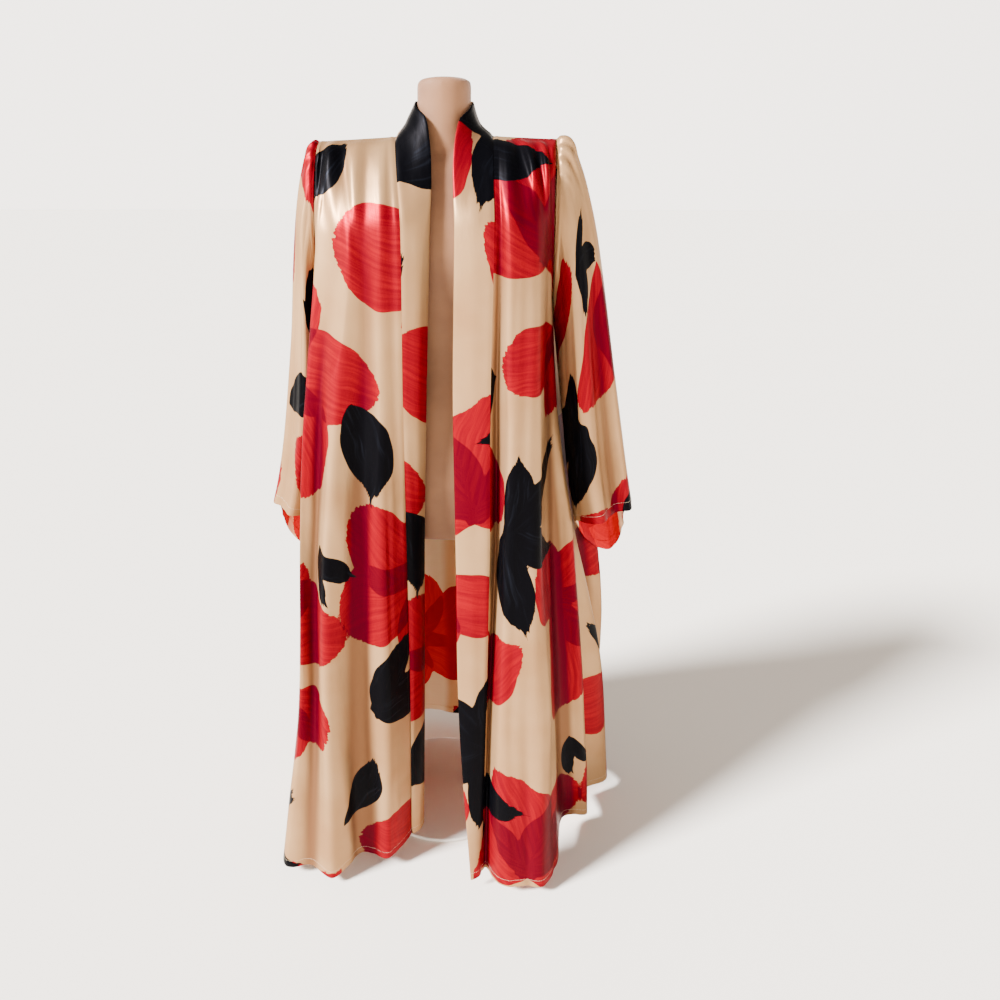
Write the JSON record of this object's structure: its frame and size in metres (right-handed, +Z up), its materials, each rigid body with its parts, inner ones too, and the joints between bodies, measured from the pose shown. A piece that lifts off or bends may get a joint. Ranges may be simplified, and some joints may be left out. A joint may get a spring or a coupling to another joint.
{
  "type": "kimono jacket on a dress form",
  "caption": "Long open-front satin kimono jacket with wide sleeves and a shawl band, red blossoms and black leaves on cream, on a limbless dress form with a round base.",
  "frame": {"origin": "middle of the stand's underside, on the floor", "axes": "+Z up, the front faces -Y, the wearer's left is +X"},
  "size_m": [0.7674, 0.5754, 1.514],
  "materials": {
    "satin": "satin",
    "form": "satin",
    "stand": "matte"
  },
  "bodies": {
    "root": {"front_panel_left": "satin", "front_panel_right": "satin", "back_panel": "satin", "sleeve_left": "satin", "sleeve_right": "satin", "neckband_left": "satin", "neckband_right": "satin", "form_torso": "form", "stand_pole": "stand", "stand_base": "stand"}
  },
  "joints": []
}
